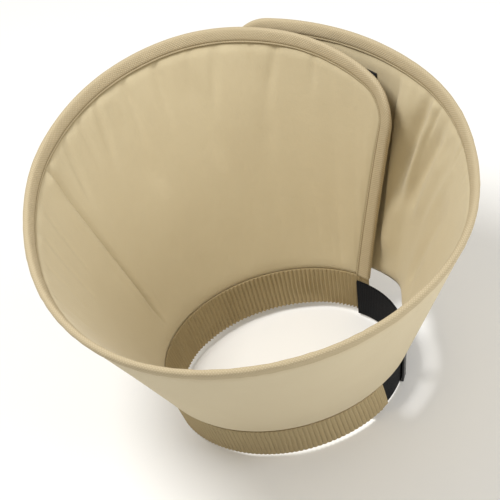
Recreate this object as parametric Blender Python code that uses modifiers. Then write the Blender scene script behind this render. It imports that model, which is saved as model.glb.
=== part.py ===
# Soft recovery cone, as it is worn round a neck.
#
# One padded sheet of cloth, cut as a part of a ring, is wrapped into a cone that opens upwards.
# Its two ends overlap: the flap lies inside and the tail outside. A folded tape binds the flap's
# end, the rim and the tail's end, a ribbed cuff hangs from the neck edge, and a strap closes it.
#
# The origin is the middle of the neck edge and +Z is the cone's axis, out of the mouth. Turns are
# degrees about +Z from +X, and they grow past 360 along the sheet. A share runs up the wall, from
# 0 at the neck edge to 1 at the rim. Lengths are metres.
import math
from collections import namedtuple

import bmesh
import bpy
from mathutils import Vector

COLLECTION = "soft_recovery_cone"
CLEAR = 0.0003

# Cone shell
RIM_RADIUS = 0.1855
CONE_HEIGHT = 0.205
NECK_WIDTH = 0.215
NECK_DEPTH = 0.178
MOUTH_SHIFT_X = -0.0075
MOUTH_SHIFT_Y = -0.0030
SHELL_THICK = 0.005
FLAP_TURN = 23.5
FLAP_LEAN = 13.0
FLAP_FADE = 60.0
TAIL_TURN = 442.0
CORNER_RADIUS = 0.038
LAYER_GAP = 0.0045
STEP_TURN_NECK = 362.0
STEP_TURN_RIM = 335.0
FOLD_DEPTH = 0.006

# Rim binding
BINDING_WIDTH = 0.0115
BINDING_WALL = 0.0015
BINDING_CLEAR = 0.0005

# Knit cuff
CUFF_HEIGHT = 0.040
CUFF_TAPER = 0.006
CUFF_WALL = 0.0024
CUFF_START_TURN = 36.0
CUFF_END_TURN = 311.0
CUFF_END_SPLAY = 5.0
CUFF_SPLAY_START = 0.8
RIB_PITCH = 0.0037
RIB_RELIEF = 0.0008

# Neck strap and its ring
STRAP_WIDTH = 0.038
STRAP_THICK = 0.0020
STRAP_TUCK = 0.012
RING_TURN = 338.0
RING_LENGTH = 0.009
RING_BAR = 0.0022
RING_CLEAR = 0.0006
RING_ROUNDING = 0.0006

# Hook and loop patches
PATCH_THICK = 0.0016
HOOK_TURN = 397.5
HOOK_TOP_SHARE = 0.89
HOOK_WIDTH = 0.050
HOOK_LENGTH = 0.110
LOOP_TURN = 38.0
LOOP_TOP_SHARE = 0.82
LOOP_WIDTH = 0.050
LOOP_LENGTH = 0.100

# Fineness of the meshes
SHELL_ROWS = 9
TURN_STEP = 4.0
FOLD_TURN_STEP = 2.7
FOLD_TURN_END = 403.5
TURN_NUDGE = 0.5
SHARE_NUDGE = 0.01
CORNER_STEPS = 6
BEND_STEPS = 4
PATCH_STEPS = 9

# The rim as seen from above and from the side: radii are shares of RIM_RADIUS, heights of CONE_HEIGHT
RimSection = namedtuple("RimSection", "turn radius height")
RIM_SECTIONS = (
    RimSection(turn=10, radius=0.80, height=0.90),
    RimSection(turn=30, radius=0.86, height=0.94),
    RimSection(turn=45, radius=0.90, height=0.98),
    RimSection(turn=65, radius=0.95, height=1.02),
    RimSection(turn=90, radius=0.98, height=1.05),
    RimSection(turn=115, radius=0.97, height=1.05),
    RimSection(turn=145, radius=0.93, height=1.03),
    RimSection(turn=175, radius=0.90, height=1.00),
    RimSection(turn=205, radius=0.93, height=0.97),
    RimSection(turn=235, radius=0.98, height=0.98),
    RimSection(turn=265, radius=1.015, height=0.995),
    RimSection(turn=300, radius=1.03, height=0.975),
    RimSection(turn=335, radius=1.03, height=0.96),
    RimSection(turn=360, radius=0.985, height=0.98),
    RimSection(turn=385, radius=0.94, height=1.01),
    RimSection(turn=410, radius=0.94, height=1.025),
    RimSection(turn=440, radius=0.965, height=1.04),
    RimSection(turn=480, radius=1.00, height=1.04),
)

# The folds of the shell: turn at the rim, how far that turn leans by the neck edge, half width in
# degrees, depth as a share of FOLD_DEPTH (outwards is more), and the shares between which it runs
Fold = namedtuple("Fold", "turn lean half_width depth low high")
FOLDS = (
    Fold(turn=387.5, lean=0, half_width=5.5, depth=-0.80, low=0.15, high=0.93),
    Fold(turn=377, lean=17, half_width=5.0, depth=0.90, low=0.30, high=0.92),
    Fold(turn=373, lean=18, half_width=4.0, depth=-0.40, low=0.40, high=0.90),
    Fold(turn=367, lean=20, half_width=5.0, depth=0.60, low=0.35, high=0.90),
    Fold(turn=361, lean=22, half_width=5.0, depth=-0.40, low=0.35, high=0.86),
    Fold(turn=350, lean=16, half_width=8.0, depth=0.50, low=0.05, high=0.75),
    Fold(turn=150, lean=0, half_width=5.0, depth=0.40, low=0.05, high=0.93),
    Fold(turn=120, lean=-6, half_width=5.0, depth=0.25, low=0.45, high=0.93),
    Fold(turn=96, lean=-4, half_width=5.0, depth=0.25, low=0.45, high=0.93),
    Fold(turn=72, lean=8, half_width=5.0, depth=0.20, low=0.45, high=0.93),
)
FOLD_FADE = 0.15

# What follows from the sizes above
BINDING_HALF = SHELL_THICK / 2 + BINDING_CLEAR + BINDING_WALL
LAYER_STEP = SHELL_THICK / 2 + BINDING_HALF + LAYER_GAP
SLANT = math.hypot(CONE_HEIGHT, RIM_RADIUS - NECK_WIDTH / 2)
MOUTH_SHIFT = Vector((MOUTH_SHIFT_X, MOUTH_SHIFT_Y, 0.0))
WALL_SLOPE = (RIM_RADIUS - NECK_DEPTH / 2) / CONE_HEIGHT
BOUND_SHARE = 1 - (BINDING_WIDTH + BINDING_WALL) / SLANT
CUFF_DROP = CLEAR + (CUFF_WALL / 2 + RIB_RELIEF) * WALL_SLOPE


def smooth(value):
    """Ease a value from 0 to 1, flat at both ends."""
    value = min(max(value, 0.0), 1.0)
    return value * value * (3 - 2 * value)


def slope_at(sections, index, column):
    """Slope of a column of the table at one of its rows."""
    before = sections[max(index - 1, 0)]
    after = sections[min(index + 1, len(sections) - 1)]
    return (getattr(after, column) - getattr(before, column)) / (after.turn - before.turn)


def along_rim(turn, column):
    """Read a column of RIM_SECTIONS at any turn, on a smooth curve through its rows."""
    index = 0
    while index < len(RIM_SECTIONS) - 2 and turn > RIM_SECTIONS[index + 1].turn:
        index += 1
    first, second = RIM_SECTIONS[index], RIM_SECTIONS[index + 1]
    span = second.turn - first.turn
    part = (turn - first.turn) / span
    start_pull = slope_at(RIM_SECTIONS, index, column) * span
    end_pull = slope_at(RIM_SECTIONS, index + 1, column) * span
    rise = getattr(second, column) - getattr(first, column)
    square, cube = part ** 2, part ** 3
    return (
        getattr(first, column)
        + rise * (3 * square - 2 * cube)
        + start_pull * (cube - 2 * square + part)
        + end_pull * (cube - square)
    )


def direction(turn):
    """Unit vector that points outwards at a turn."""
    angle = math.radians(turn)
    return Vector((math.cos(angle), math.sin(angle), 0.0))


def neck_point(turn, inset=0.0):
    """Point of the neck edge's oval, moved inwards by an inset."""
    out = direction(turn)
    return Vector((out.x * (NECK_WIDTH / 2 - inset), out.y * (NECK_DEPTH / 2 - inset), 0.0))


def layer_step(turn, share):
    """How far the sheet has stepped outwards, to pass round its own flap."""
    start = STEP_TURN_NECK + (STEP_TURN_RIM - STEP_TURN_NECK) * share
    end = 360 + FLAP_TURN
    return LAYER_STEP * smooth((turn - start) / (end - start))


def plain_point(turn, share):
    """Point of the sheet's middle surface, before the folds."""
    out = direction(turn)
    rim = out * (RIM_RADIUS * along_rim(turn, "radius")) + MOUTH_SHIFT
    rim.z = CONE_HEIGHT * along_rim(turn, "height")
    return neck_point(turn).lerp(rim, share) + out * layer_step(turn, share)


def sheet_slopes(turn, share):
    """How the middle surface moves for each degree of turn and for a whole share."""
    by_turn = plain_point(turn + TURN_NUDGE, share) - plain_point(turn - TURN_NUDGE, share)
    by_share = plain_point(turn, share + SHARE_NUDGE) - plain_point(turn, share - SHARE_NUDGE)
    return by_turn / (2 * TURN_NUDGE), by_share / (2 * SHARE_NUDGE)


def outward(turn, share):
    """Unit normal of the sheet, away from the cone's axis."""
    by_turn, by_share = sheet_slopes(turn, share)
    return by_turn.cross(by_share).normalized()


def fold_height(turn, share):
    """Sum of the folds at a place on the sheet."""
    total = 0.0
    for fold in FOLDS:
        offset = (turn - fold.turn - fold.lean * (1 - share)) / fold.half_width
        if abs(offset) >= 1:
            continue
        across = math.cos(math.pi / 2 * offset) ** 2
        high = min(fold.high, BOUND_SHARE)
        along = smooth((share - fold.low) / FOLD_FADE) * smooth((high - share) / FOLD_FADE)
        total += fold.depth * FOLD_DEPTH * across * along
    return total


def sheet_point(turn, share, lift=0.0):
    """Point of the folded sheet, lifted off its middle surface."""
    return plain_point(turn, share) + outward(turn, share) * (fold_height(turn, share) + lift)


def flap_shift(turn, share):
    """Turns by which the flap's slanting end pushes the sheet's columns along."""
    return FLAP_LEAN * (1 - share) * (1 - smooth((turn - FLAP_TURN) / FLAP_FADE))


def row_share(row):
    """Share of a column's height at a row: the last row lies under the binding."""
    return 1.0 if row == SHELL_ROWS else BOUND_SHARE * row / (SHELL_ROWS - 1)


def column_tops():
    """Turn and top share of each column of the sheet, with its two round corners."""
    corner = []
    for step in range(CORNER_STEPS + 1):
        angle = math.pi / 2 * step / CORNER_STEPS
        along = math.degrees(CORNER_RADIUS * (1 - math.cos(angle)) / RIM_RADIUS)
        corner.append((along, 1 - CORNER_RADIUS * (1 - math.sin(angle)) / SLANT))
    columns = [(FLAP_TURN + along, top) for along, top in corner]
    last = TAIL_TURN - corner[-1][0]
    turn = columns[-1][0]
    while turn < last:
        folded = STEP_TURN_RIM < turn < FOLD_TURN_END
        turn += FOLD_TURN_STEP if folded else TURN_STEP
        if turn < last - TURN_STEP / 2:
            columns.append((turn, 1.0))
    columns += [(TAIL_TURN - along, top) for along, top in reversed(corner)]
    return columns


def edge_path():
    """Places (turn, share) round the sheet's bound edge: flap end, corner, rim, corner, tail end."""
    columns = column_tops()
    flap_top, tail_top = columns[0][1], columns[-1][1]
    shares = [row_share(row) for row in range(SHELL_ROWS)]
    path = [(FLAP_TURN, share * flap_top) for share in shares]
    path += columns
    path += [(TAIL_TURN, share * tail_top) for share in reversed(shares)]
    return [(turn + flap_shift(turn, share), share) for turn, share in path]


def mapped_grid(name, columns, rows, place):
    """Make a sheet of columns by rows of faces, with each vertex put where place(column, row) says."""
    mesh = bpy.data.meshes.new(name)
    bm = bmesh.new()
    bmesh.ops.create_grid(bm, x_segments=columns, y_segments=rows, size=1.0)
    for vert in bm.verts:
        column = round((vert.co.x + 1) / 2 * columns)
        row = round((vert.co.y + 1) / 2 * rows)
        vert.co = place(column, row)
    bm.normal_update()
    bm.to_mesh(mesh)
    bm.free()
    mesh.shade_smooth()
    return bpy.data.objects.new(name, mesh)


def add_wall(obj, thickness):
    """Give a sheet its thickness, half to each side."""
    wall = obj.modifiers.new("wall", "SOLIDIFY")
    wall.thickness = thickness
    wall.offset = 0.0
    wall.use_even_offset = True
    wall.use_quality_normals = True
    return obj


def make_cone_shell():
    """The padded sheet: a grid wrapped into the cone, then thickened."""
    columns = column_tops()

    def place(column, row):
        turn, top = columns[column]
        share = top * row_share(row)
        return sheet_point(turn + flap_shift(turn, share), share)

    shell = mapped_grid("cone_shell", len(columns) - 1, SHELL_ROWS, place)
    return add_wall(shell, SHELL_THICK)


def binding_section():
    """Section of the tape as (inward, lift) from the sheet's edge, from the outer leg to the inner."""
    lift = BINDING_HALF - BINDING_WALL / 2
    section = [(BINDING_WIDTH, lift)]
    for step in range(BEND_STEPS + 1):
        angle = math.pi * step / BEND_STEPS
        section.append((-lift * math.sin(angle), lift * math.cos(angle)))
    section.append((BINDING_WIDTH, -lift))
    return section


def make_rim_binding():
    """The folded tape: its section follows the sheet's edge from one neck end to the other."""
    path = edge_path()
    points = [sheet_point(turn, share) for turn, share in path]
    section = binding_section()

    def place(column, row):
        turn, share = path[column]
        before = points[max(column - 1, 0)]
        after = points[min(column + 1, len(points) - 1)]
        normal = outward(turn, share)
        inward = (after - before).cross(normal).normalized()
        by_turn, by_share = sheet_slopes(turn, share)
        turn_turn = by_turn.dot(by_turn)
        turn_share = by_turn.dot(by_share)
        share_share = by_share.dot(by_share)
        along_turn, along_share = by_turn.dot(inward), by_share.dot(inward)
        spread = turn_turn * share_share - turn_share ** 2
        turn_rate = (along_turn * share_share - along_share * turn_share) / spread
        share_rate = (along_share * turn_turn - along_turn * turn_share) / spread
        distance, lift = section[row]
        return sheet_point(turn + turn_rate * distance, share + share_rate * distance, lift)

    binding = mapped_grid("rim_binding", len(path) - 1, len(section) - 1, place)
    return add_wall(binding, BINDING_WALL)


def cuff_point(turn, drop, inset=0.0):
    """Point of the cuff's middle surface, a drop below the neck edge."""
    point = neck_point(turn, CUFF_TAPER * drop / CUFF_HEIGHT + inset)
    point.z = -drop
    return point


def make_knit_cuff():
    """The ribbed band under the neck edge, open at the back right."""
    sweep = math.radians(CUFF_END_TURN - CUFF_START_TURN)
    ribs = round(sweep * (NECK_WIDTH + NECK_DEPTH) / 4 / RIB_PITCH)
    columns = 2 * ribs

    def place(column, row):
        part = column / columns
        splay = CUFF_END_SPLAY * (1 - row) * smooth((part - CUFF_SPLAY_START) / (1 - CUFF_SPLAY_START))
        turn = CUFF_START_TURN + (CUFF_END_TURN - CUFF_START_TURN) * part + splay
        relief = RIB_RELIEF / 2 if column % 2 else -RIB_RELIEF / 2
        drop = CUFF_DROP if row else CUFF_HEIGHT
        return cuff_point(turn, drop, relief)

    return add_wall(mapped_grid("knit_cuff", columns, 1, place), CUFF_WALL)


def strap_inset():
    """How far the strap's middle lies inside the cuff's middle."""
    return (RIB_RELIEF + CUFF_WALL + STRAP_THICK) / 2 + CLEAR


def strap_middle_drop():
    """How far the strap's middle line lies below the neck edge."""
    return CUFF_DROP + CLEAR + RING_BAR + RING_CLEAR + STRAP_WIDTH / 2


def make_neck_strap():
    """The strap: it bridges the cuff's opening, with both ends tucked inside the cuff."""
    tuck = math.degrees(STRAP_TUCK / (NECK_WIDTH / 2))
    start = CUFF_END_TURN - tuck
    sweep = CUFF_START_TURN + 360 + tuck - start
    columns = round(sweep / FOLD_TURN_STEP)

    def place(column, row):
        drop = strap_middle_drop() + STRAP_WIDTH * (0.5 - row)
        return cuff_point(start + sweep * column / columns, drop, strap_inset())

    return add_wall(mapped_grid("neck_strap", columns, 1, place), STRAP_THICK)


def make_strap_ring():
    """The slide: a block with a slot, round the strap."""
    middle = cuff_point(RING_TURN, strap_middle_drop(), strap_inset())
    upper = cuff_point(RING_TURN, strap_middle_drop() - STRAP_WIDTH / 2, strap_inset())
    tangent = cuff_point(RING_TURN + 1, strap_middle_drop(), strap_inset()) - middle
    up = (upper - middle).normalized()
    along = (tangent - tangent.project(up)).normalized()
    out = along.cross(up)
    half_thick = STRAP_THICK / 2 + RING_CLEAR + RING_BAR
    half_height = STRAP_WIDTH / 2 + RING_CLEAR + RING_BAR
    mesh = bpy.data.meshes.new("strap_ring")
    bm = bmesh.new()
    bmesh.ops.create_cube(bm, size=2.0)
    ends = [face for face in bm.faces if abs(face.normal.y) > 0.5]
    for vert in bm.verts:
        local = vert.co.copy()
        sideways = out * (local.x * half_thick) + along * (local.y * RING_LENGTH / 2)
        vert.co = sideways + up * (local.z * half_height)
    bm.normal_update()
    bmesh.ops.inset_individual(bm, faces=ends, thickness=RING_BAR, use_even_offset=True)
    rims = [edge for face in ends for edge in face.edges]
    bmesh.ops.delete(bm, geom=ends, context="FACES_ONLY")
    bmesh.ops.bridge_loops(bm, edges=rims)
    bmesh.ops.translate(bm, verts=bm.verts, vec=middle)
    bmesh.ops.recalc_face_normals(bm, faces=bm.faces)
    bm.to_mesh(mesh)
    bm.free()
    ring = bpy.data.objects.new("strap_ring", mesh)
    rounding = ring.modifiers.new("rounding", "BEVEL")
    rounding.width = RING_ROUNDING
    rounding.segments = 2
    return ring


def make_patch(name, start_turn, top_share, width, length, side):
    """A patch sewn on the sheet, on its outer side (1) or its inner side (-1)."""
    lift = side * (SHELL_THICK / 2 + CLEAR + PATCH_THICK / 2)

    def place(column, row):
        share = top_share - length / SLANT * (1 - row / PATCH_STEPS)
        radius = plain_point(start_turn, share).xy.length
        turn = start_turn + math.degrees(width / radius) * column / PATCH_STEPS
        return sheet_point(turn, share, lift)

    return add_wall(mapped_grid(name, PATCH_STEPS, PATCH_STEPS, place), PATCH_THICK)


def make_hook_patch():
    """The hook patch on the tail's inner face, whose corner shows past the flap."""
    return make_patch("hook_patch", HOOK_TURN, HOOK_TOP_SHARE, HOOK_WIDTH, HOOK_LENGTH, -1)


def make_loop_patch():
    """The loop patch on the flap's outer face, which the hook patch grips."""
    return make_patch("loop_patch", LOOP_TURN, LOOP_TOP_SHARE, LOOP_WIDTH, LOOP_LENGTH, 1)


def material(name, colour, roughness):
    """A plain material of one colour, given in linear values."""
    made = bpy.data.materials.new(name)
    made.use_nodes = True
    shader = made.node_tree.nodes["Principled BSDF"]
    shader.inputs["Base Color"].default_value = (*colour, 1.0)
    shader.inputs["Roughness"].default_value = roughness
    shader.inputs["Metallic"].default_value = 0.0
    return made


def build():
    """Clear the scene and make every piece of the cone."""
    for obj in list(bpy.data.objects):
        bpy.data.objects.remove(obj, do_unlink=True)
    parts = bpy.data.collections.new(COLLECTION)
    bpy.context.scene.collection.children.link(parts)
    khaki = (0.56, 0.47, 0.31)
    black = (0.012, 0.012, 0.018)
    pieces = (
        (make_cone_shell(), material("khaki_padded_cloth", khaki, 0.85)),
        (make_rim_binding(), material("khaki_binding_tape", (0.53, 0.43, 0.28), 0.85)),
        (make_knit_cuff(), material("khaki_rib_knit", (0.42, 0.33, 0.19), 0.95)),
        (make_neck_strap(), material("black_webbing", black, 0.60)),
        (make_strap_ring(), material("black_plastic", (0.015, 0.015, 0.020), 0.40)),
        (make_hook_patch(), material("black_hook_tape", black, 0.70)),
        (make_loop_patch(), material("black_loop_tape", black, 0.95)),
    )
    for piece, finish in pieces:
        piece.data.materials.append(finish)
        parts.objects.link(piece)


build()
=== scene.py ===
# %% [markdown]
# # A soft recovery cone
# A soft recovery cone is a padded sheet of cloth, wrapped round a neck and closed by pressing its two
# ends together. A folded tape covers the raw edge all round, a ribbed knitted cuff softens the neck
# edge, and a short black strap closes the gap that the cuff leaves. Cloth is never quite flat: each
# seam pulls it in and each bend folds it, and those marks are what this lesson builds.
#
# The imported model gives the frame. Its nodes say where each piece lies, so the new pieces are built
# in the same place, in metres, with the neck edge at the origin and the mouth towards +Z.

# %% Open the frame
import math
from collections import namedtuple

import bmesh
import bpy
import numpy as np
from mathutils import Matrix, Vector


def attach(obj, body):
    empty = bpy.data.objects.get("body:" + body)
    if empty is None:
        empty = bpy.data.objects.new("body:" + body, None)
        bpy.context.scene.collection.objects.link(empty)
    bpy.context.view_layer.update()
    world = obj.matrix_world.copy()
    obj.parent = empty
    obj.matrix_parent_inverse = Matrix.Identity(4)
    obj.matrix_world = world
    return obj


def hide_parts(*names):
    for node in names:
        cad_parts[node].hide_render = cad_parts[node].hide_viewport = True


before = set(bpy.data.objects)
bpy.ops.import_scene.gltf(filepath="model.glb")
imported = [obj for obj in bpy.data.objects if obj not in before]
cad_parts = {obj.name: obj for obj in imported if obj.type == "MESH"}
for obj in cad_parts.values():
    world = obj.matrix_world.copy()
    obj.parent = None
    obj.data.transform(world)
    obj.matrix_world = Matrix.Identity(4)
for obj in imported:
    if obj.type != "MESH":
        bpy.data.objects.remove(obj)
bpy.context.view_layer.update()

print("Frame:", len(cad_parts), "nodes")

# %% [markdown]
# ## Sizes
# The sheet is described by two numbers, as a map is by its grid. A turn is the angle round the neck
# in degrees, and it passes 360 where the sheet overlaps itself. A share runs up the wall, from 0 at
# the neck edge to 1 at the rim. Everything sewn to the sheet is placed with the same two numbers, so
# a change of size moves all of it together.

# %% Named sizes
RIM_RADIUS = 0.1855
CONE_HEIGHT = 0.205
NECK_WIDTH = 0.215
NECK_DEPTH = 0.178
MOUTH_SHIFT = (-0.0075, -0.0030, 0.0)
SHELL_THICK = 0.005
FLAP_TURN = 23.5
FLAP_LEAN = 13.0
FLAP_FADE = 60.0
TAIL_TURN = 442.0
CORNER_RADIUS = 0.038
STEP_TURN_NECK = 362.0
STEP_TURN_RIM = 335.0
LAYER_STEP = 0.0115
FOLD_DEPTH = 0.006
FOLD_FADE = 0.15

TAPE_WIDTH = 0.0108
TAPE_WALL = 0.0009
STITCH_INSET = 0.0020
STITCH_PITCH = 0.0034
THREAD = 0.0005
TAPE_GAP = 0.0001
EDGE_HALF = 0.0012
EDGE_BEND = 0.0021
EDGE_ROUND = 0.0015
GROOVE_DEPTH = 0.00055
GROOVE_WIDTH = 0.0006

CUFF_HEIGHT = 0.040
CUFF_TAPER = 0.006
CUFF_WALL = 0.0022
CUFF_START_TURN = 36.0
CUFF_END_TURN = 311.0
CUFF_END_SPLAY = 5.0
CUFF_HEM = 0.005
CUFF_GAP = 0.0006
CUFF_FOLD = 0.0010
CUFF_SPLAY_START = 0.8
RIB_PITCH = 0.0037
RIB_RELIEF = 0.0014

STRAP_WIDTH = 0.038
STRAP_THICK = 0.0018
STRAP_TUCK = 0.012
STRAP_DROP = 0.0239
STRAP_INSET = 0.0029

PATCH_THICK = 0.0014
HOOK_TURN = 397.5
HOOK_TOP_SHARE = 0.89
HOOK_LENGTH = 0.110
LOOP_TURN = 38.0
LOOP_TOP_SHARE = 0.82
LOOP_LENGTH = 0.100
PATCH_WIDTH = 0.050
PATCH_GAP = 0.0002
PATCH_SINK = 0.0004

PUCKER_FINE = 0.00085
PUCKER_BROAD = 0.00060
PUCKER_SLOW = 0.0006
PUCKER_FADE = 0.020
SIDE_SEAM_TURN = 150
SIDE_SEAM_WIDTH = 0.0010

SLANT = math.hypot(CONE_HEIGHT, RIM_RADIUS - NECK_WIDTH / 2)
SEED = 7

# The rim's curve by turn. Radius is a share of RIM_RADIUS, and height a share of CONE_HEIGHT
RimSection = namedtuple("RimSection", "turn radius height")
RIM_SECTIONS = (
    RimSection(10, 0.80, 0.90),
    RimSection(30, 0.86, 0.94),
    RimSection(45, 0.90, 0.98),
    RimSection(65, 0.95, 1.02),
    RimSection(90, 0.98, 1.05),
    RimSection(115, 0.97, 1.05),
    RimSection(145, 0.93, 1.03),
    RimSection(175, 0.90, 1.00),
    RimSection(205, 0.93, 0.97),
    RimSection(235, 0.98, 0.98),
    RimSection(265, 1.015, 0.995),
    RimSection(300, 1.03, 0.975),
    RimSection(335, 1.03, 0.96),
    RimSection(360, 0.985, 0.98),
    RimSection(385, 0.94, 1.01),
    RimSection(410, 0.94, 1.025),
    RimSection(440, 0.965, 1.04),
    RimSection(480, 1.00, 1.04),
)

# Folds that bend the whole sheet: half widths in degrees on each side of the crest, and depth as a
# share of FOLD_DEPTH, where outwards is more
Fold = namedtuple("Fold", "turn lean before after depth low high")
FOLDS = (
    Fold(387.4, 5, 11.0, 1.4, -0.90, 0.06, 0.95),
    Fold(377, 17, 5.0, 5.0, 0.62, 0.30, 0.92),
    Fold(373, 18, 4.0, 4.0, -0.40, 0.40, 0.90),
    Fold(367, 20, 5.0, 5.0, 0.60, 0.35, 0.90),
    Fold(361, 22, 5.0, 5.0, -0.40, 0.35, 0.86),
    Fold(350, 16, 8.0, 8.0, 0.50, 0.05, 0.75),
    Fold(150, 0, 5.0, 5.0, 0.40, 0.05, 0.93),
    Fold(120, -6, 5.0, 5.0, 0.25, 0.45, 0.93),
    Fold(96, -4, 5.0, 5.0, 0.25, 0.45, 0.93),
    Fold(72, 8, 5.0, 5.0, 0.20, 0.45, 0.93),
)

# Wrinkles of the inner cloth alone: width and depth are metres. A valley has a positive depth and a
# ridge a negative one
Wrinkle = namedtuple("Wrinkle", "turn lean width depth low high")
WRINKLES = (
    Wrinkle(56, 8, 0.008, 0.0014, 0.72, 0.97),
    Wrinkle(67, 22, 0.009, 0.0018, 0.66, 0.97),
    Wrinkle(75, 10, 0.007, 0.0014, 0.72, 0.97),
    Wrinkle(84, 22, 0.010, 0.0018, 0.64, 0.97),
    Wrinkle(92, 16, 0.008, 0.0015, 0.74, 0.97),
    Wrinkle(96, 2, 0.006, 0.0012, 0.82, 0.97),
    Wrinkle(103, 5, 0.009, 0.0018, 0.66, 0.97),
    Wrinkle(113, 6, 0.010, 0.0018, 0.62, 0.97),
    Wrinkle(123, 16, 0.010, 0.0018, 0.64, 0.97),
    Wrinkle(131, 8, 0.008, 0.0012, 0.70, 0.97),
    Wrinkle(138, 18, 0.010, 0.0016, 0.60, 0.97),
    Wrinkle(150, 0, 0.0050, 0.0028, 0.08, 0.96),
    Wrinkle(152.5, 0, 0.012, -0.0018, 0.10, 0.93),
    Wrinkle(163, 8, 0.008, 0.0009, 0.50, 0.90),
    Wrinkle(172, 10, 0.009, 0.0009, 0.45, 0.88),
    Wrinkle(183, 10, 0.008, 0.0008, 0.50, 0.90),
    Wrinkle(196, 8, 0.009, 0.0007, 0.55, 0.92),
    Wrinkle(376.6, 17.0, 0.013, 0.0020, 0.36, 0.96),
    Wrinkle(373.4, 17.6, 0.010, -0.0018, 0.44, 0.95),
    Wrinkle(366.6, 21.4, 0.011, 0.0010, 0.44, 0.95),
    Wrinkle(362.1, 28.0, 0.012, -0.0009, 0.42, 0.93),
    Wrinkle(353.6, 22.4, 0.014, -0.0009, 0.38, 0.84),
    Wrinkle(344.2, 26.0, 0.015, 0.0012, 0.08, 0.60),
    Wrinkle(371.0, 19.0, 0.005, 0.0010, 0.66, 0.96),
    Wrinkle(357.0, 10.0, 0.006, 0.0009, 0.74, 0.97),
    Wrinkle(349.0, 8.0, 0.006, 0.0008, 0.78, 0.97),
)
print("Slant height:", round(SLANT * 1000, 1), "mm; folds:", len(FOLDS), "; wrinkles:", len(WRINKLES))

# %% [markdown]
# ## The surface of the cone
# A wrapped sheet has no simple outline, so its surface is worked out from the turn and the share: a
# straight line from the neck's oval to the rim's curve, a step outwards where the tail passes behind
# the flap, and a soft bump for each fold. The functions take whole tables of places at once, which
# keeps the fine mesh quick to make.

# %% Functions of the surface
def smooth(value):
    """Ease a value from 0 to 1, flat at both ends."""
    value = np.clip(value, 0.0, 1.0)
    return value * value * (3 - 2 * value)


def along_rim(turn, column):
    """Read a column of RIM_SECTIONS at any turn, on a smooth curve through its rows."""
    turns = np.array([section.turn for section in RIM_SECTIONS], dtype=float)
    values = np.array([getattr(section, column) for section in RIM_SECTIONS])
    before = np.maximum(np.arange(len(turns)) - 1, 0)
    after = np.minimum(np.arange(len(turns)) + 1, len(turns) - 1)
    slopes = (values[after] - values[before]) / (turns[after] - turns[before])
    index = np.clip(np.searchsorted(turns, turn, side="left") - 1, 0, len(turns) - 2)
    span = turns[index + 1] - turns[index]
    part = (turn - turns[index]) / span
    square, cube = part ** 2, part ** 3
    return (
        values[index]
        + (values[index + 1] - values[index]) * (3 * square - 2 * cube)
        + slopes[index] * span * (cube - 2 * square + part)
        + slopes[index + 1] * span * (cube - square)
    )


def direction(turn):
    """Unit vectors that point outwards at each turn."""
    angle = np.radians(turn)
    return np.stack([np.cos(angle), np.sin(angle), np.zeros_like(angle)], axis=-1)


def plain_point(turn, share):
    """Points of the sheet's middle surface, before the folds."""
    out = direction(turn)
    neck = out * np.array([NECK_WIDTH / 2, NECK_DEPTH / 2, 0.0])
    rim = out * (RIM_RADIUS * along_rim(turn, "radius"))[..., None] + np.array(MOUTH_SHIFT)
    rim[..., 2] = CONE_HEIGHT * along_rim(turn, "height")
    start = STEP_TURN_NECK + (STEP_TURN_RIM - STEP_TURN_NECK) * share
    step = LAYER_STEP * smooth((turn - start) / (360 + FLAP_TURN - start))
    return neck + (rim - neck) * share[..., None] + out * step[..., None]


def sheet_slopes(turn, share):
    """How the middle surface moves for each degree of turn and for a whole share."""
    by_turn = plain_point(turn + 0.5, share) - plain_point(turn - 0.5, share)
    by_share = (plain_point(turn, share + 0.01) - plain_point(turn, share - 0.01)) / 0.02
    return by_turn, by_share


def outward(turn, share):
    """Unit normals of the sheet, away from the cone's axis."""
    by_turn, by_share = sheet_slopes(turn, share)
    normal = np.cross(by_turn, by_share)
    return normal / np.linalg.norm(normal, axis=-1, keepdims=True)


def fold_height(turn, share):
    """Sum of the folds that bend the whole sheet."""
    total = np.zeros_like(turn)
    for fold in FOLDS:
        past = turn - fold.turn - fold.lean * (1 - share)
        offset = np.clip(past / np.where(past > 0, fold.after, fold.before), -1, 1)
        across = np.cos(np.pi / 2 * offset) ** 2
        along = smooth((share - fold.low) / FOLD_FADE) * smooth((fold.high - share) / FOLD_FADE)
        total += fold.depth * FOLD_DEPTH * across * along
    return total


def arc_radius(turn, share):
    """Distance from the cone's axis."""
    return np.linalg.norm(plain_point(turn, share)[..., :2], axis=-1)


def edge_distance(turn, share):
    """Distance from the bound edge: the rim, the flap's end or the tail's end, with round corners."""
    radius = arc_radius(turn, share)
    from_flap = np.radians(turn - FLAP_TURN - FLAP_LEAN * (1 - share)) * radius
    from_tail = np.radians(TAIL_TURN - turn) * radius
    from_end = np.minimum(from_flap, from_tail)
    from_rim = (1 - share) * SLANT
    corner = CORNER_RADIUS - np.hypot(
        np.maximum(CORNER_RADIUS - from_end, 0), np.maximum(CORNER_RADIUS - from_rim, 0)
    )
    square = np.minimum(from_end, from_rim)
    return np.maximum(np.where(square < CORNER_RADIUS, np.minimum(corner, square), square), 0)


print("Rim from", plain_point(np.array([0.0]), np.array([1.0]))[0].round(4), "m")

# %% [markdown]
# ## Random puckers
# A machine stitch gathers the cloth a little, and the gathers fade as they run away from the seam.
# They are irregular, so they come from noise: random heights on a coarse net, joined smoothly. The
# net's cells are long up the wall and short round it, which draws the bumps out into puckers. The
# seed is fixed, so the same wrinkles come back each time.

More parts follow.
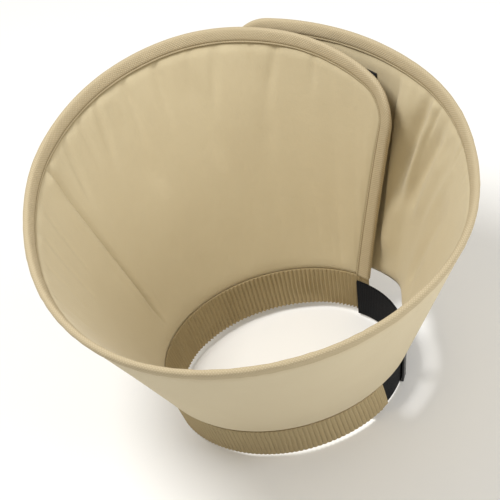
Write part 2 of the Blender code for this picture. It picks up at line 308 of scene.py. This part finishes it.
# %% Smooth noise
def soft_noise(across, along, seed):
    """Random heights from -1 to 1 on a net of unit cells, joined smoothly."""
    table = np.random.default_rng(seed).uniform(-1, 1, (512, 512))
    column, row = np.floor(across).astype(int), np.floor(along).astype(int)
    right, up = smooth(across - column), smooth(along - row)
    low = table[row % 512, column % 512] * (1 - right) + table[row % 512, (column + 1) % 512] * right
    high = (
        table[(row + 1) % 512, column % 512] * (1 - right)
        + table[(row + 1) % 512, (column + 1) % 512] * right
    )
    return low * (1 - up) + high * up


def puckers(turn, share, seed):
    """Gathers that start at the stitches and fade up or down the wall, in metres."""
    distance = edge_distance(turn, share)
    arc = np.radians(turn) * RIM_RADIUS
    sway = 0.004 * soft_noise(arc / 0.030, share * 4, seed + 1)
    fine = soft_noise((arc + sway) / 0.0075, distance / 0.028, seed + 2)
    broad = soft_noise((arc + sway) / 0.021, distance / 0.060, seed + 3)
    slow = soft_noise(arc / 0.055, share * 3.2, seed + 4)
    near = np.exp(-np.maximum(distance - TAPE_WIDTH, 0) / PUCKER_FADE)
    return PUCKER_FINE * fine * near + PUCKER_BROAD * broad * (0.30 + near) + PUCKER_SLOW * slow


def wrinkle_depth(turn, share):
    """Depth of the listed wrinkles, each with a low ridge on both sides."""
    total = np.zeros_like(turn)
    radius = arc_radius(turn, share)
    for wrinkle in WRINKLES:
        offset = np.radians(turn - wrinkle.turn - wrinkle.lean * (1 - share)) * radius
        place = offset / (wrinkle.width / 2)
        across = (1 - 0.9 * place ** 2) * np.exp(-place ** 2)
        along = smooth((share - wrinkle.low) / 0.20) * smooth((wrinkle.high - share) / 0.05 + 0.3)
        total += wrinkle.depth * across * along
    return total


def round_edge(distance):
    """Share of the thickness near an edge, which turns over in a small arc."""
    return np.sqrt(np.clip(1 - (1 - np.minimum(distance / EDGE_ROUND, 1)) ** 2, 0, 1))


def half_thickness(turn, share):
    """Half the padding's thickness: thin where it is sewn, full a finger's width away."""
    distance = edge_distance(turn, share)
    from_neck = share * SLANT
    edge = round_edge(distance)
    neck = round_edge(from_neck)
    puff = smooth((distance - TAPE_WIDTH * 0.85) / 0.010) * smooth((from_neck - 0.001) / 0.010)
    return (EDGE_HALF + (SHELL_THICK / 2 - EDGE_HALF) * puff) * edge * neck


def face_point(turn, share, side, lift=0.0):
    """Points on the outer (1) or inner (-1) face of the padded cloth, lifted off it."""
    half = half_thickness(turn, share)
    away = smooth((edge_distance(turn, share) - TAPE_WIDTH * 0.8) / 0.006)
    away = away * smooth(share * SLANT / 0.020)
    if side > 0:
        ripple = 0.5 * puckers(turn, share, SEED + 20)
    else:
        ripple = puckers(turn, share, SEED) - wrinkle_depth(turn, share)
    height = side * (half + away * ripple + lift) + fold_height(turn, share)
    return plain_point(turn, share) + outward(turn, share) * height[..., None]


sample_turns, sample_shares = np.meshgrid(np.linspace(40, 460, 200), np.linspace(0.1, 0.9, 50))
sample_ripple = puckers(sample_turns, sample_shares, SEED)
print("Puckers up to", round(float(abs(sample_ripple).max()) * 1000, 2), "mm")

# %% [markdown]
# ## One grid for each sheet of cloth
# A piece of cloth is a flat grid before it is sewn. Each new sheet starts as the grid operator's
# plane, whose vertices are then moved to their places on the cone, so the faces stay in even rows
# like the weave. The flat place of each corner, in metres, is kept as its UV, and the cloth patterns
# are drawn with that, so the weave bends with the sheet.

# %% Functions for sheets
def mapped_sheet(name, points, flat, seam=None):
    """Make a grid of faces, and move its vertices to points[row, column]. Flat gives their UV, and
    seam how much painted shade each gets for lying in a sewn groove, from 0 to 1."""
    rows, columns = points.shape[0] - 1, points.shape[1] - 1
    mesh = bpy.data.meshes.new(name)
    bm = bmesh.new()
    bmesh.ops.create_grid(bm, x_segments=columns, y_segments=rows, size=1.0)
    bm.to_mesh(mesh)
    bm.free()
    places = np.empty(len(mesh.vertices) * 3)
    mesh.vertices.foreach_get("co", places)
    places = places.reshape(-1, 3)
    column = np.rint((places[:, 0] + 1) / 2 * columns).astype(int)
    row = np.rint((places[:, 1] + 1) / 2 * rows).astype(int)
    mesh.vertices.foreach_set("co", points[row, column].ravel())
    corner = np.empty(len(mesh.loops), dtype=int)
    mesh.loops.foreach_get("vertex_index", corner)
    metres = mesh.uv_layers.new(name="metres")
    metres.data.foreach_set("uv", flat[row[corner], column[corner]].ravel())
    if seam is not None:
        mesh.attributes.new("seam", "FLOAT", "POINT").data.foreach_set("value", seam[row, column])
    mesh.update()
    mesh.shade_smooth()
    piece = bpy.data.objects.new(name, mesh)
    bpy.context.scene.collection.objects.link(piece)
    return piece


def close_seams(piece, distance=1e-6):
    """Join the vertices that lie on each other, and turn the normals outwards."""
    bm = bmesh.new()
    bm.from_mesh(piece.data)
    bmesh.ops.remove_doubles(bm, verts=bm.verts, dist=distance)
    bmesh.ops.dissolve_degenerate(bm, edges=bm.edges, dist=distance)
    open_edges = sum(1 for edge in bm.edges if len(edge.link_faces) != 2)
    bm.to_mesh(piece.data)
    bm.free()
    print(piece.name, "faces:", len(piece.data.polygons), "open edges:", open_edges)


def add_wall(piece, thickness):
    """Give a sheet its thickness, half to each side."""
    wall = piece.modifiers.new("wall", "SOLIDIFY")
    wall.thickness = thickness
    wall.offset = 0.0
    wall.use_even_offset = True
    return wall


def settle(piece):
    """Ride on the only body."""
    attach(piece, "root")


def flap_shift(turn, share):
    """Turns by which the flap's slanting end pushes the sheet's columns along."""
    return FLAP_LEAN * (1 - share) * (1 - smooth((turn - FLAP_TURN) / FLAP_FADE))


FOLDED_TURNS = (340, 394)
FOLDED_CROWDING = 2.2


def column_tops(corner_steps, columns):
    """Turn and top share of each column of the sheet, closer together where it is folded most."""
    angle = np.linspace(0, np.pi / 2, corner_steps + 1)
    along = np.degrees(CORNER_RADIUS * (1 - np.cos(angle)) / RIM_RADIUS)
    drop = CORNER_RADIUS * (1 - np.sin(angle)) / SLANT
    even = np.linspace(FLAP_TURN + along[-1], TAIL_TURN - along[-1], 2000)
    folded = (even > FOLDED_TURNS[0]) & (even < FOLDED_TURNS[1])
    crowd = np.cumsum(np.where(folded, FOLDED_CROWDING, 1.0))
    middle = np.interp(np.linspace(crowd[0], crowd[-1], columns), crowd, even)[1:-1]
    turn = np.concatenate([FLAP_TURN + along, middle, (TAIL_TURN - along)[::-1]])
    top = np.concatenate([1 - drop, np.ones(len(middle)), (1 - drop)[::-1]])
    return turn, top


print("Columns of the panel:", len(column_tops(26, 500)[0]))

# %% [markdown]
# ## The padded panel
# The panel is two layers of cloth with thin wadding between them, sewn together all round. So it is
# one closed skin: the grid runs up the outer face, over the edge and down the inner face, and its
# ends are joined. Where it is sewn it is thin, and it swells beyond the stitches. The inner face has
# more wrinkles, because a cone bends that face into a shorter path than the cloth was cut for.
#
# A cloth simulation could make the puckers too, but the photographed folds have known places, so the
# vertices are moved by the table of folds and wrinkles instead, which puts each one where it is seen.

# %% Padded panel
PANEL_ROWS = 78
panel_turn, panel_top = column_tops(26, 500)
rise = 1 - (1 - np.linspace(0, 1, PANEL_ROWS + 1)) ** 1.25
panel_share = rise[:, None] * panel_top[None, :]
panel_turns = panel_turn[None, :] + flap_shift(panel_turn[None, :], panel_share)
outer_face = face_point(panel_turns, panel_share, 1)
inner_face = face_point(panel_turns, panel_share, -1)
panel_points = np.concatenate([outer_face, inner_face[-2::-1]])
panel_radius = arc_radius(panel_turns, panel_share)
flat_outer = np.stack([np.radians(panel_turns) * panel_radius, panel_share * SLANT], axis=-1)
panel_flat = np.concatenate([flat_outer, flat_outer[-2::-1] + np.array([0.0, 1.0])])
# Painted shade: a dark line just past the tape's edge and down the side seam's crease, kept in the seam
# attribute
past_tape = edge_distance(panel_turns, panel_share) - TAPE_WIDTH
tape_edge_shade = np.exp(-((past_tape / 0.0012) ** 2))
from_side = np.radians(panel_turns - SIDE_SEAM_TURN) * panel_radius
side_seam_shade = np.exp(-((from_side / SIDE_SEAM_WIDTH) ** 2))
side_seam_shade = side_seam_shade * smooth((panel_share - 0.05) / 0.1)
panel_seam_shade = np.concatenate([tape_edge_shade, np.maximum(tape_edge_shade, side_seam_shade)[-2::-1]])
panel = mapped_sheet("padded_panel", panel_points, panel_flat, panel_seam_shade)
close_seams(panel, 2e-5)
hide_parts("cone_shell")
settle(panel)

# %% [markdown]
# ## The binding tape
# A folded tape covers the raw edge of the panel. It is a strip of twill, folded lengthwise over the
# edge and sewn through all the layers, so its section is a narrow U that grips the thin edge of the
# padding. The same section is swept round the flap's end, the corner, the rim and the tail's end.
# The stitch line pulls a shallow groove along both legs, and the tape ripples a little between.

# %% Binding tape
def edge_path(corner_steps, columns, end_rows):
    """Places (turn, share) round the bound edge: flap's end, corner, rim, corner, tail's end."""
    turn, top = column_tops(corner_steps, columns)
    rows = np.linspace(0, 1, end_rows + 1)[:-1]
    turns = np.concatenate([np.full(end_rows, FLAP_TURN), turn, np.full(end_rows, TAIL_TURN)])
    shares = np.concatenate([rows * top[0], top, rows[::-1] * top[-1]])
    return turns + flap_shift(turns, shares), shares


def step_inward(turn, share, distance):
    """Move places (one for each column) away from the edge, over the sheet, by a table of distances."""
    here = plain_point(turn, share)
    along = np.gradient(here, axis=0)
    normal = outward(turn, share)
    inward = np.cross(along, normal)
    inward = inward / np.linalg.norm(inward, axis=-1, keepdims=True)
    by_turn, by_share = sheet_slopes(turn, share)
    turn_turn = (by_turn * by_turn).sum(-1)
    turn_share = (by_turn * by_share).sum(-1)
    share_share = (by_share * by_share).sum(-1)
    pull_turn, pull_share = (by_turn * inward).sum(-1), (by_share * inward).sum(-1)
    spread = turn_turn * share_share - turn_share ** 2
    turn_rate = (pull_turn * share_share - pull_share * turn_share) / spread
    share_rate = (pull_share * turn_turn - pull_turn * turn_share) / spread
    return turn + turn_rate * distance, share + share_rate * distance


def path_length(points):
    """Distance along a row of points, from its start."""
    steps = np.linalg.norm(np.diff(points, axis=0), axis=-1)
    return np.concatenate([[0.0], np.cumsum(steps)])


edge_turn, edge_share = edge_path(30, 760, 90)
edge_run = path_length(plain_point(edge_turn, edge_share))
# The section runs from the raw edge of the outer leg, over the panel's edge, to that of the inner leg
legs = TAPE_WIDTH * np.array([1.0, 0.94, 0.88, 0.84, 0.81, 0.78, 0.72, 0.6, 0.45, 0.3, 0.15, 0.05])
bends = np.linspace(0, np.pi, 9)[1:-1]
section = [(inset, 1.0) for inset in legs]
section += [(-EDGE_BEND * np.sin(angle) * 0.9, np.cos(angle)) for angle in bends]
section += [(inset, -1.0) for inset in legs[::-1]]
groove_at = TAPE_WIDTH - STITCH_INSET
rows = []
groove_shades = []
for inset, facing in section:
    turn, share = step_inward(edge_turn, edge_share, inset)
    groove = math.exp(-(((inset - groove_at) / GROOVE_WIDTH) ** 2))
    swell = 0.0005 * math.sin(math.pi * min(max(inset / groove_at, 0.0), 1.0)) ** 0.7 + 0.0004
    turn_down = 0.0002 * math.exp(-(((inset - TAPE_WIDTH) / 0.0006) ** 2))
    ripple = 0.00022 * soft_noise(edge_run / 0.006, np.full_like(edge_run, inset / 0.006), SEED + 9)
    ripple = ripple * (0.3 if abs(inset - groove_at) < 0.001 else 1.0)
    lift = EDGE_HALF + TAPE_WALL / 2 + TAPE_GAP + swell - GROOVE_DEPTH * groove - turn_down + ripple
    height = fold_height(turn, share) + lift * facing
    rows.append(plain_point(turn, share) + outward(turn, share) * height[..., None])
    # Painted shade in the stitch groove and along the edge of each leg, kept in the seam attribute
    groove_shades.append(groove + 0.7 * math.exp(-(((inset - TAPE_WIDTH) / 0.0003) ** 2)))
tape_points = np.array(rows)
MEASURED_COLUMN = 400
across = path_length(tape_points[:, MEASURED_COLUMN])
tape_flat = np.stack(np.meshgrid(edge_run, across), axis=-1)
tape_seam_shade = np.repeat(np.array(groove_shades)[:, None], len(edge_run), axis=1)
tape = mapped_sheet("rim_tape", tape_points, tape_flat, tape_seam_shade)
add_wall(tape, TAPE_WALL)
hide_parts("rim_binding")
settle(tape)
print("Tape:", edge_run[-1].round(3), "m long,", (across[-1] * 1000).round(1), "mm wide unfolded")

# %% [markdown]
# ## The stitches
# One row of machine stitches holds the tape on each side. The thread lies on the cloth for the length
# of a stitch and then dips through a hole. So each row is one thin tube whose thickness swells and
# shrinks, and it sinks into the tape between two stitches. Real bumps catch the light as a dotted
# line, which a painted line wouldn't.

# %% Stitches
STITCH_COLUMNS = 8
THREAD_SIDES = 6
STITCHED_ROW = 4


def stitch_row(name, leg_row, side):
    """Lay a thread along one row of the tape's points, thick on each stitch and sunk between."""
    line = tape_points[leg_row]
    run = path_length(line)
    count = int(run[-1] / STITCH_PITCH)
    along = np.linspace(0.0, run[-1], count * STITCH_COLUMNS + 1)
    up = outward(edge_turn, edge_share) * side
    middle = np.stack([np.interp(along, run, line[:, axis]) for axis in range(3)], axis=-1)
    up = np.stack([np.interp(along, run, up[:, axis]) for axis in range(3)], axis=-1)
    ahead = np.gradient(middle, axis=0)
    ahead = ahead / np.linalg.norm(ahead, axis=-1, keepdims=True)
    up = up - ahead * (up * ahead).sum(-1)[:, None]
    up = up / np.linalg.norm(up, axis=-1, keepdims=True)
    sideways = np.cross(up, ahead)
    swell = np.sqrt(np.abs(np.sin(np.pi * np.arange(len(along)) / STITCH_COLUMNS)))
    centre = middle + up * (TAPE_WALL / 2 - 0.00025 + 0.00035 * swell)[:, None]
    angle = np.linspace(0, 2 * np.pi, THREAD_SIDES + 1)
    radius = THREAD / 2 * (0.12 + 0.88 * swell)
    points = np.array(
        [centre + (sideways * math.cos(turn) + up * math.sin(turn)) * radius[:, None] for turn in angle]
    )
    flat = np.stack(np.meshgrid(along, angle * THREAD / 2), axis=-1)
    row = mapped_sheet(name, points, flat)
    close_seams(row)
    settle(row)
    return row


stitch_rows = [
    stitch_row("outer_stitches", STITCHED_ROW, 1),
    stitch_row("inner_stitches", len(section) - 1 - STITCHED_ROW, -1),
]
print("Faces of the stitches:", [len(row.data.polygons) for row in stitch_rows])

# %% [markdown]
# ## The knitted cuff
# The cuff is rib knit: columns of loops that stand up as round ribs, with a sunk column between them.
# The relief is real, because each rib shows as a light and a dark stripe. The bottom edge is a fold,
# and the free end is turned back into a flat hem, where the ribs are pressed away.

# %% Knitted cuff
def cuff_point(turn, drop, inset):
    """Points of the cuff's middle surface, a drop below the neck edge."""
    shrink = CUFF_TAPER * drop / CUFF_HEIGHT + inset
    out = direction(turn)
    wide, deep = NECK_WIDTH / 2 - shrink, NECK_DEPTH / 2 - shrink
    return np.stack([out[..., 0] * wide, out[..., 1] * deep, -drop], axis=-1)


def round_rim(piece, name, width, segments):
    """Round the sharp rim of a sheet that has its wall."""
    bevel = piece.modifiers.new(name, "BEVEL")
    bevel.width = width
    bevel.segments = segments
    bevel.limit_method = "ANGLE"
    bevel.angle_limit = math.radians(60)


CUFF_ROWS = 22
RIB_COLUMNS = 8
cuff_sweep = math.radians(CUFF_END_TURN - CUFF_START_TURN)
cuff_length = cuff_sweep * (NECK_WIDTH + NECK_DEPTH) / 4
rib_count = round(cuff_length / RIB_PITCH)
cuff_part, cuff_rise = np.meshgrid(
    np.linspace(0, 1, rib_count * RIB_COLUMNS + 1), np.linspace(0, 1, CUFF_ROWS + 1)
)
cuff_run = cuff_part * cuff_length
splay = smooth((cuff_part - CUFF_SPLAY_START) / (1 - CUFF_SPLAY_START))
splay = CUFF_END_SPLAY * (1 - cuff_rise) * splay
cuff_turn = CUFF_START_TURN + (CUFF_END_TURN - CUFF_START_TURN) * cuff_part + splay
hem = smooth((np.minimum(cuff_run, cuff_length - cuff_run) - CUFF_HEM) / 0.002)
lean = 0.0002 * soft_noise(cuff_run / 0.030, cuff_rise * 2, SEED + 31)
rib = np.abs(np.cos(np.pi * (cuff_run + lean) / RIB_PITCH)) ** 0.7
flare = 0.0007 * soft_noise(cuff_run / 0.035, cuff_rise * 1.2, SEED + 32) * (1 - cuff_rise)
relief = RIB_RELIEF * (rib - 0.5) * hem + flare
cuff_drop = CUFF_GAP + (CUFF_HEIGHT - CUFF_FOLD - CUFF_GAP) * (1 - cuff_rise)
cuff_flat = np.stack([cuff_run, cuff_rise * CUFF_HEIGHT], axis=-1)
cuff = mapped_sheet("knitted_cuff", cuff_point(cuff_turn, cuff_drop, -relief), cuff_flat)
add_wall(cuff, CUFF_WALL)
round_rim(cuff, "soft edge", CUFF_WALL * 0.4, 2)
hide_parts("knit_cuff")
settle(cuff)
print("Cuff:", rib_count, "ribs")

# %% [markdown]
# ## The neck strap
# The strap is woven webbing, which is thick and flat with rounded edges. It runs inside both ends of
# the cuff and bridges the gap between them, and it passes through the black slide.

# %% Neck strap
tuck_turn = math.degrees(STRAP_TUCK / (NECK_WIDTH / 2))
strap_start = CUFF_END_TURN - tuck_turn
strap_sweep = CUFF_START_TURN + 360 - CUFF_END_TURN + 2 * tuck_turn
strap_part, strap_rise = np.meshgrid(np.linspace(0, 1, 121), np.linspace(-0.5, 0.5, 17))
strap_turn = strap_start + strap_sweep * strap_part
strap_length = math.radians(strap_sweep) * (NECK_WIDTH + NECK_DEPTH) / 4
strap_points = cuff_point(strap_turn, STRAP_DROP - STRAP_WIDTH * strap_rise, STRAP_INSET)
strap_flat = np.stack([strap_part * strap_length, strap_rise * STRAP_WIDTH], axis=-1)
strap = mapped_sheet("woven_strap", strap_points, strap_flat)
add_wall(strap, STRAP_THICK)
round_rim(strap, "woven edge", STRAP_THICK * 0.35, 3)
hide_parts("neck_strap")
settle(strap)
print("Strap:", round(strap_length * 1000), "mm long")

# %% [markdown]
# ## The closing patches
# A hook patch is sewn inside the tail and a loop patch outside the flap. The two grip each other
# between the layers, so only a corner of the hook patch peeks out past the flap's end. Both follow
# the faces that they are sewn to.

# %% Closing patches
def sewn_patch(name, node, start_turn, top_share, length, side):
    """A patch that lies on the outer (1) or inner (-1) face of the panel."""
    across, down = np.meshgrid(np.linspace(0, 1, 41), np.linspace(0, 1, 81))
    share = top_share - length / SLANT * (1 - down)
    radius = arc_radius(np.full_like(share, start_turn), share)
    turn = start_turn + np.degrees(PATCH_WIDTH / radius) * across
    rim = np.minimum(np.minimum(across, 1 - across) * PATCH_WIDTH, np.minimum(down, 1 - down) * length)
    lift = PATCH_GAP + PATCH_THICK / 2 - PATCH_SINK * (1 - smooth(rim / 0.003))
    points = face_point(turn, share, side, lift)
    patch = mapped_sheet(name, points, np.stack([across * PATCH_WIDTH, down * length], axis=-1))
    add_wall(patch, PATCH_THICK)
    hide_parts(node)
    settle(patch)
    return patch


hook = sewn_patch("sewn_hook_patch", "hook_patch", HOOK_TURN, HOOK_TOP_SHARE, HOOK_LENGTH, -1)
loop = sewn_patch("sewn_loop_patch", "loop_patch", LOOP_TURN, LOOP_TOP_SHARE, LOOP_LENGTH, 1)
print("Patches:", hook.name, loop.name)

# %% [markdown]
# ## Materials
# The colours are read from the photograph as sRGB values, and one function turns them linear.
# The patterns are drawn with the flat UV in metres, so their scale is the real one. A weave finer
# than the camera can see is drawn a little coarser, or it would only make grain.

# %% Material functions
def linear(colour):
    """Turn an sRGB colour, written as six hex digits, into linear values."""
    shares = [int(colour[index:index + 2], 16) / 255 for index in (0, 2, 4)]
    red, green, blue = [
        value / 12.92 if value <= 0.04045 else ((value + 0.055) / 1.055) ** 2.4 for value in shares
    ]
    return red, green, blue, 1.0


def shader_of(material):
    """The material's shader node."""
    return material.node_tree.nodes["Principled BSDF"]


def new_material(name, roughness, shine=0.5):
    """A material whose nodes are ready to be added to. Shine is how strongly it reflects, from 0 to 1."""
    made = bpy.data.materials.new(name)
    made.use_nodes = True
    shader_of(made).inputs["Roughness"].default_value = roughness
    shader_of(made).inputs["Specular IOR Level"].default_value = shine
    return made


def add(material, kind, settings=None, links=None):
    """Add one node, set its properties and sockets, and link its inputs."""
    node = material.node_tree.nodes.new(kind)
    for key, value in (settings or {}).items():
        if hasattr(node, key):
            setattr(node, key, value)
        else:
            node.inputs[key].default_value = value
    for key, source in (links or {}).items():
        material.node_tree.links.new(source, node.inputs[key])
    return node


def join(material, source, socket):
    """Link a node's output to a socket of the shader."""
    material.node_tree.links.new(source, shader_of(material).inputs[socket])


WAVE_UNIT = 2 * math.pi / 20


def wave(material, flat, axis, pitch, turn=0.0):
    """Stripes in the flat pattern: pitch is the real distance from one to the next, in metres."""
    mapped = add(material, "ShaderNodeMapping", {"Rotation": (0.0, 0.0, turn)}, {"Vector": flat})
    return add(
        material,
        "ShaderNodeTexWave",
        {
            "wave_type": "BANDS",
            "bands_direction": axis,
            "wave_profile": "SIN",
            "Scale": WAVE_UNIT / pitch,
        },
        {"Vector": mapped.outputs["Vector"]},
    ).outputs["Fac"]


def grid_of(material, flat, pitch_across, pitch_along, turn=0.0):
    """Bumps where two sets of stripes cross, from 0 to 1."""
    first = wave(material, flat, "X", pitch_across, turn)
    second = wave(material, flat, "Y", pitch_along, turn)
    return add(
        material, "ShaderNodeMath", {"operation": "MULTIPLY"}, {0: first, 1: second}
    ).outputs["Value"]


MIX_FACTOR, MIX_LOW, MIX_HIGH, MIX_COLOUR = 0, 6, 7, 2


def blend_colours(material, factor, low, high):
    """A colour between two, by a factor. The low one is hex digits or another node's output."""
    blend = add(material, "ShaderNodeMix", {"data_type": "RGBA"}, {MIX_FACTOR: factor})
    blend.inputs[MIX_HIGH].default_value = linear(high)
    if isinstance(low, str):
        blend.inputs[MIX_LOW].default_value = linear(low)
    else:
        material.node_tree.links.new(low, blend.inputs[MIX_LOW])
    return blend.outputs[MIX_COLOUR]


def flat_of(material):
    """The piece's flat place in metres."""
    return add(material, "ShaderNodeUVMap", {"uv_map": "metres"}).outputs["UV"]


def shade_painted_in_seams(material, colour, dark):
    """The colour with painted shade: turned darker where the seam attribute marks a sewn groove, crease
    or tape edge that light reaches less.
    """
    seam = add(material, "ShaderNodeAttribute", {"attribute_name": "seam"}).outputs["Fac"]
    return blend_colours(material, seam, colour, dark)


def noise(material, place, size, detail=2.0):
    """Soft random patches of a size in metres."""
    return add(
        material, "ShaderNodeTexNoise", {"Scale": 1 / size, "Detail": detail}, {"Vector": place}
    ).outputs["Fac"]


def bump(material, height, depth, under=None):
    """Turn a height from 0 to 1 into relief of a real depth, in metres, over relief already made."""
    links = {"Height": height}
    if under is not None:
        links["Normal"] = under
    node = add(material, "ShaderNodeBump", {"Strength": 1.0, "Distance": depth}, links)
    return node.outputs["Normal"]


def object_place(material):
    """The place on the object, in metres."""
    return add(material, "ShaderNodeTexCoord").outputs["Object"]


print("Khaki in linear values:", [round(value, 3) for value in linear("C8B896")[:3]])

# %% [markdown]
# The panel is a smooth woven polyester with a soft brushed surface. It is a plain weave finer than a
# pixel, so it is drawn at 0.9 mm. The light spreads wide on it, with a faint sheen at grazing angles.

# %% Padded cloth
WEAVE_PITCH = 0.0009
TWILL_PITCH = 0.0017
LOOP_PITCH = 0.0016
HOOK_PITCH = 0.0016

padded_cloth = new_material("khaki woven polyester", 0.82, 0.25)
weave = grid_of(padded_cloth, flat_of(padded_cloth), WEAVE_PITCH, WEAVE_PITCH)
mottle = noise(padded_cloth, object_place(padded_cloth), 0.05, 3.0)
khaki = blend_colours(padded_cloth, mottle, "C4B593", "CBBD9B")
# Painted shade: 9A8A66 darkens the cloth along the tape's edge and in the side seam's crease
join(padded_cloth, shade_painted_in_seams(padded_cloth, khaki, "9A8A66"), "Base Color")
crumple = noise(padded_cloth, object_place(padded_cloth), 0.006, 3.0)
first_relief = bump(padded_cloth, crumple, 0.00025)
join(padded_cloth, bump(padded_cloth, weave, 0.00008, first_relief), "Normal")
shader_of(padded_cloth).inputs["Sheen Weight"].default_value = 0.15
shader_of(padded_cloth).inputs["Sheen Roughness"].default_value = 0.5

# %% [markdown]
# The tape is a heavier twill. Its ridges run across it at a slant, about 1.7 mm apart, and show as a
# fine diagonal hatching on the edge.

# %% Tape and thread
binding_tape = new_material("khaki twill tape", 0.85, 0.25)
twill = grid_of(binding_tape, flat_of(binding_tape), TWILL_PITCH, TWILL_PITCH, math.radians(45))
ridged = blend_colours(binding_tape, twill, "B3A383", "C6B798")
# Painted shade: 7E6D4B darkens the stitch grooves and the edges of the tape's legs
join(binding_tape, shade_painted_in_seams(binding_tape, ridged, "7E6D4B"), "Base Color")
join(binding_tape, bump(binding_tape, twill, 0.00030), "Normal")

thread = new_material("khaki polyester thread", 0.6)
shader_of(thread).inputs["Base Color"].default_value = linear("8E7C58")

# %% [markdown]
# Rib knit is made of small loops, so the ribs carry a fine dotted grain. The sunk columns between the
# ribs are darker because little light reaches them, so no dark colour is painted there.

# %% Rib knit
rib_knit = new_material("khaki rib knit", 0.95, 0.15)
knit = grid_of(rib_knit, flat_of(rib_knit), RIB_PITCH / 2, LOOP_PITCH)
join(rib_knit, blend_colours(rib_knit, knit, "A5936F", "BBAA85"), "Base Color")
join(rib_knit, bump(rib_knit, knit, 0.0004), "Normal")

# %% [markdown]
# Webbing is woven from thick yarn, with fine ridges along and across it. The slide is moulded
# plastic with a satin finish. The hook patch is a field of stiff bristles and the loop patch a fuzz,
# so one breaks the light into points and the other swallows it.

# %% Black pieces
strap_webbing = new_material("black nylon webbing", 0.7, 0.15)
yarn = grid_of(strap_webbing, flat_of(strap_webbing), 0.0022, 0.0013)
join(strap_webbing, blend_colours(strap_webbing, yarn, "07080B", "131419"), "Base Color")
join(strap_webbing, bump(strap_webbing, yarn, 0.0003), "Normal")

strap_plastic = new_material("black moulded plastic", 0.38)
shader_of(strap_plastic).inputs["Base Color"].default_value = linear("0C0C10")
grain = noise(strap_plastic, object_place(strap_plastic), 0.0012)
join(strap_plastic, bump(strap_plastic, grain, 0.00005), "Normal")

hook_tape = new_material("black hook tape", 0.5)
bristles = grid_of(hook_tape, flat_of(hook_tape), HOOK_PITCH, HOOK_PITCH)
join(hook_tape, blend_colours(hook_tape, bristles, "08080A", "26262C"), "Base Color")
join(hook_tape, bump(hook_tape, bristles, 0.0006), "Normal")

loop_tape = new_material("black loop tape", 0.95)
fuzz = noise(loop_tape, object_place(loop_tape), 0.0012, 4.0)
join(loop_tape, blend_colours(loop_tape, fuzz, "0C0C0F", "1D1D22"), "Base Color")
join(loop_tape, bump(loop_tape, fuzz, 0.0005), "Normal")

FINISHES = {
    panel: padded_cloth,
    tape: binding_tape,
    stitch_rows[0]: thread,
    stitch_rows[1]: thread,
    cuff: rib_knit,
    strap: strap_webbing,
    hook: hook_tape,
    loop: loop_tape,
}
for piece, finish in FINISHES.items():
    piece.data.materials.clear()
    piece.data.materials.append(finish)
ring_node = bpy.data.objects["strap_ring"]
for material_slot in ring_node.material_slots:
    material_slot.material = strap_plastic
print("Finishes:", len(FINISHES) + 1)

# %% [markdown]
# ## The studio
# The cone stands on a plain pale floor under soft light, as a catalogue picture is taken. A broad
# light near the camera, a little above and to its left, shapes the folds, and the pale surroundings
# fill the shadows.

# %% Floor, lights and camera
CAMERA_ELEVATION = math.radians(49.1)
CAMERA_ROLL = math.radians(-14.78)
CAMERA_DISTANCE = 1.52
FOCAL_PIXELS = 1746.0
PICTURE_PIXELS = 500.0
NECK_PIXEL_RIGHT, NECK_PIXEL_DOWN = 285.0, 346.1
LIGHT_AIM_HEIGHT = 0.10

back = Vector((0.0, -math.cos(CAMERA_ELEVATION), math.sin(CAMERA_ELEVATION)))
level_up = Vector((0.0, math.sin(CAMERA_ELEVATION), math.cos(CAMERA_ELEVATION)))
level_right = Vector((1.0, 0.0, 0.0))
picture_right = level_right * math.cos(CAMERA_ROLL) + level_up * math.sin(CAMERA_ROLL)
picture_up = level_up * math.cos(CAMERA_ROLL) - level_right * math.sin(CAMERA_ROLL)

aim_right = NECK_PIXEL_RIGHT - PICTURE_PIXELS / 2
aim_down = NECK_PIXEL_DOWN - PICTURE_PIXELS / 2
forward = (-back * FOCAL_PIXELS - picture_right * aim_right + picture_up * aim_down).normalized()
swing = (-back).rotation_difference(forward)
camera_data = bpy.data.cameras.new("camera")
camera_data.lens = FOCAL_PIXELS / PICTURE_PIXELS * camera_data.sensor_width
camera = bpy.data.objects.new("camera", camera_data)
bpy.context.scene.collection.objects.link(camera)
axes = Matrix((swing @ picture_right, swing @ picture_up, swing @ back)).transposed()
camera.matrix_world = Matrix.Translation(back * CAMERA_DISTANCE) @ axes.to_4x4()
bpy.context.scene.camera = camera

FLOOR_HEIGHT = -0.0456
floor_mesh = bpy.data.meshes.new("floor")
bm = bmesh.new()
bmesh.ops.create_grid(bm, x_segments=1, y_segments=1, size=6.0)
bmesh.ops.translate(bm, verts=bm.verts, vec=(0.0, 0.0, FLOOR_HEIGHT))
bm.to_mesh(floor_mesh)
bm.free()
floor = bpy.data.objects.new("floor", floor_mesh)
bpy.context.scene.collection.objects.link(floor)
pale = new_material("pale matt paper", 0.9, 0.1)
shader_of(pale).inputs["Base Color"].default_value = linear("F2F1EE")
floor_mesh.materials.append(pale)


def area_light(name, place, size, power):
    """A round soft light at a place, turned to the cone."""
    data = bpy.data.lights.new(name, "AREA")
    data.shape = "DISK"
    data.size = size
    data.energy = power
    lamp = bpy.data.objects.new(name, data)
    bpy.context.scene.collection.objects.link(lamp)
    turned = (place - Vector((0.0, 0.0, LIGHT_AIM_HEIGHT))).to_track_quat("Z", "Y")
    lamp.matrix_world = Matrix.Translation(place) @ turned.to_matrix().to_4x4()


area_light("key", back * 1.1 + picture_up * 0.9 - picture_right * 0.75, 0.6, 19.0)
area_light("fill", back * 1.1 + picture_up * 0.4 + picture_right * 1.4, 1.2, 16.0)

world = bpy.data.worlds.new("studio")
world.use_nodes = True
background = world.node_tree.nodes["Background"]
background.inputs["Color"].default_value = (1.0, 0.985, 0.965, 1.0)
background.inputs["Strength"].default_value = 0.50
bpy.context.scene.world = world
bpy.context.scene.view_settings.view_transform = "Standard"
print("Lens:", round(camera_data.lens, 1), "mm")
